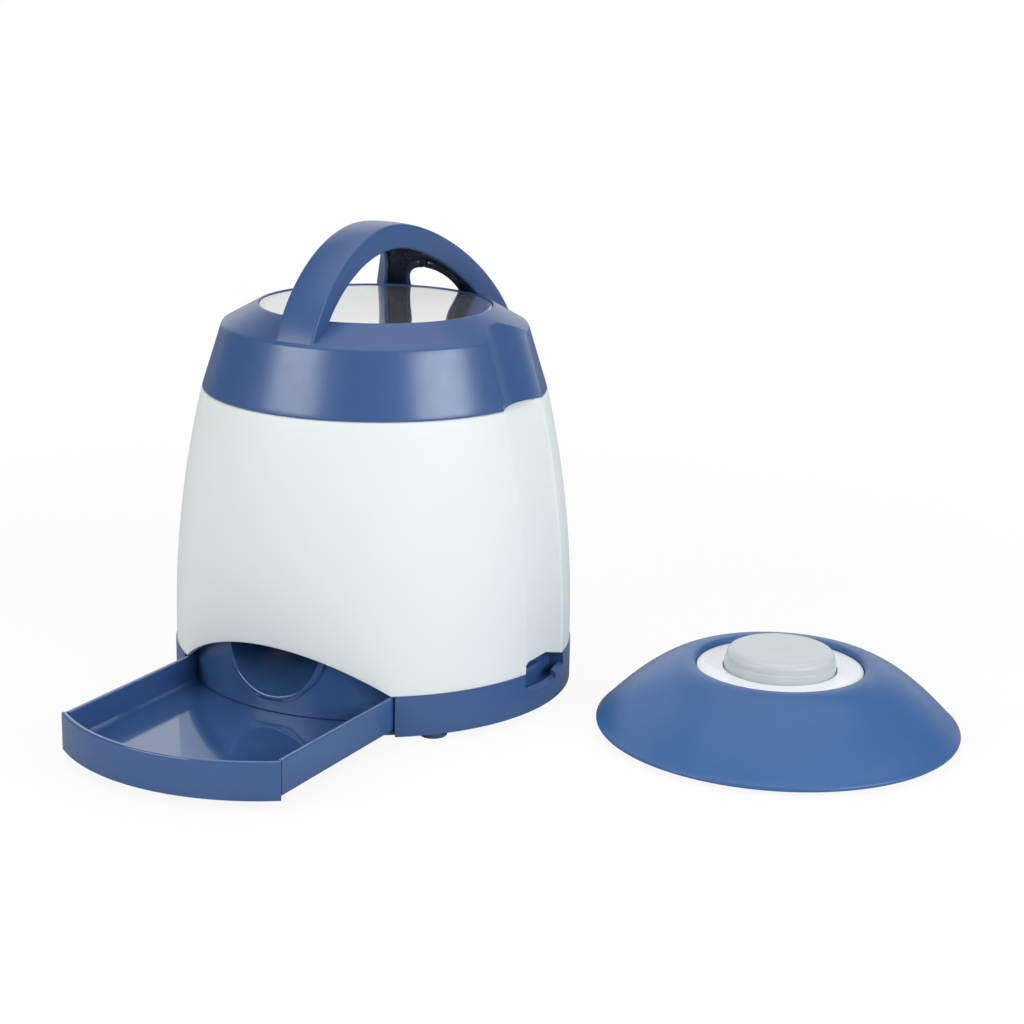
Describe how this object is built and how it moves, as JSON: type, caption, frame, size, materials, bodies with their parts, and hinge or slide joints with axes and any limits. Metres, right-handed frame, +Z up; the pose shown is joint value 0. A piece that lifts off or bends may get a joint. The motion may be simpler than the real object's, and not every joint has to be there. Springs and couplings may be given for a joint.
{
  "type": "dog treat dispenser toy with remote button",
  "caption": "Barrel-shaped dog treat dispenser with a handled lid, clear window and pull-out tray, plus a separate saucer-shaped remote with a large push button.",
  "frame": {"origin": "On the floor, under the middle of the dispenser's round base.", "axes": "-Y is the front, where the tray comes out; +X points to the remote; +Z is up."},
  "size_m": [0.375, 0.299, 0.22],
  "materials": {
    "blue_plastic": "satin moulded",
    "blue_soft": "soft-touch matt",
    "body_white": "smooth satin",
    "clear_plastic": "clear polished",
    "frosted_plastic": "frosted",
    "rubber_dark": "matt",
    "seal_rubber": "matt",
    "steel": "bright zinc",
    "brass": "turned",
    "gear_white": "natural nylon",
    "dark_plastic": "fine matt",
    "cell_wrap": "plain printed sleeve",
    "board_green": "solder mask",
    "pale_plastic": "smooth"
  },
  "bodies": {
    "dispenser": {"base_shell": "blue_plastic", "rubber_feet": "rubber_dark", "base_screws": "steel", "latch_hooks": "blue_plastic", "body_shell": "body_white", "outlet_chute": "blue_plastic", "chute_screws": "steel", "hopper": "body_white", "hopper_screws": "steel", "shaft_bush": "brass", "gear_motor": "steel", "gear_deck": "gear_white", "deck_screws": "steel", "battery_box": "dark_plastic", "battery_cells": "cell_wrap", "battery_contacts": "steel", "battery_door": "blue_plastic", "door_screw": "steel", "main_board": "board_green", "board_parts": "dark_plastic", "board_screws": "steel", "loudspeaker": "dark_plastic", "switch_housing": "dark_plastic"},
    "tray": {"tray": "blue_plastic"},
    "wheel": {"treat_wheel": "blue_plastic", "wheel_shaft": "steel", "wheel_gear": "gear_white"},
    "pinion": {"motor_pinion": "gear_white", "motor_shaft": "steel"},
    "slider": {"power_slider": "pale_plastic"},
    "lid": {"lid_ring": "blue_plastic", "lid_window": "clear_plastic", "lid_seal": "seal_rubber", "handle": "blue_plastic", "handle_insert": "blue_plastic", "handle_screws": "steel"},
    "remote": {"remote_cover": "blue_soft", "remote_disc": "body_white", "remote_board": "board_green", "button_switch": "dark_plastic", "status_led": "pale_plastic", "remote_board_screws": "steel", "remote_plate": "blue_plastic", "remote_pads": "rubber_dark", "remote_screws": "steel", "remote_tub": "dark_plastic", "remote_cells": "cell_wrap", "remote_contacts": "steel", "remote_door": "blue_plastic", "remote_door_screw": "steel", "button_spring": "steel"},
    "button": {"remote_button": "frosted_plastic"}
  },
  "joints": [
    {"name": "tray_slide", "type": "slide", "parent": "dispenser", "child": "tray", "axis": [0, 1, 0], "range_m": [0, 0.0895]},
    {"name": "lid_lift", "type": "slide", "parent": "dispenser", "child": "lid", "axis": [0, 0, 1], "range_m": [0, 0.13]},
    {"name": "wheel_spin", "type": "hinge", "parent": "dispenser", "child": "wheel", "pos_m": [0, 0, 0.1], "axis": [0, 0, 1], "continuous": true},
    {"name": "pinion_spin", "type": "hinge", "parent": "dispenser", "child": "pinion", "pos_m": [0, 0.02885, 0.087], "axis": [0, 0, 1], "continuous": true},
    {"name": "power_switch_slide", "type": "slide", "parent": "dispenser", "child": "slider", "axis": [1, 0, 0], "range_m": [0, 0.004]},
    {"name": "remote_place", "type": "slide", "parent": "dispenser", "child": "remote", "axis": [1, 0, 0], "range_m": [0, 0.2]},
    {"name": "button_press", "type": "slide", "parent": "remote", "child": "button", "axis": [0, 0, -1], "range_m": [0, 0.0025], "stiffness_N_per_m": 600, "springref_m": -0.002, "deforming": ["button_spring"]}
  ],
  "couplings": [
    {"joint": "pinion_spin", "follows": "wheel_spin", "ratio": -3}
  ]
}
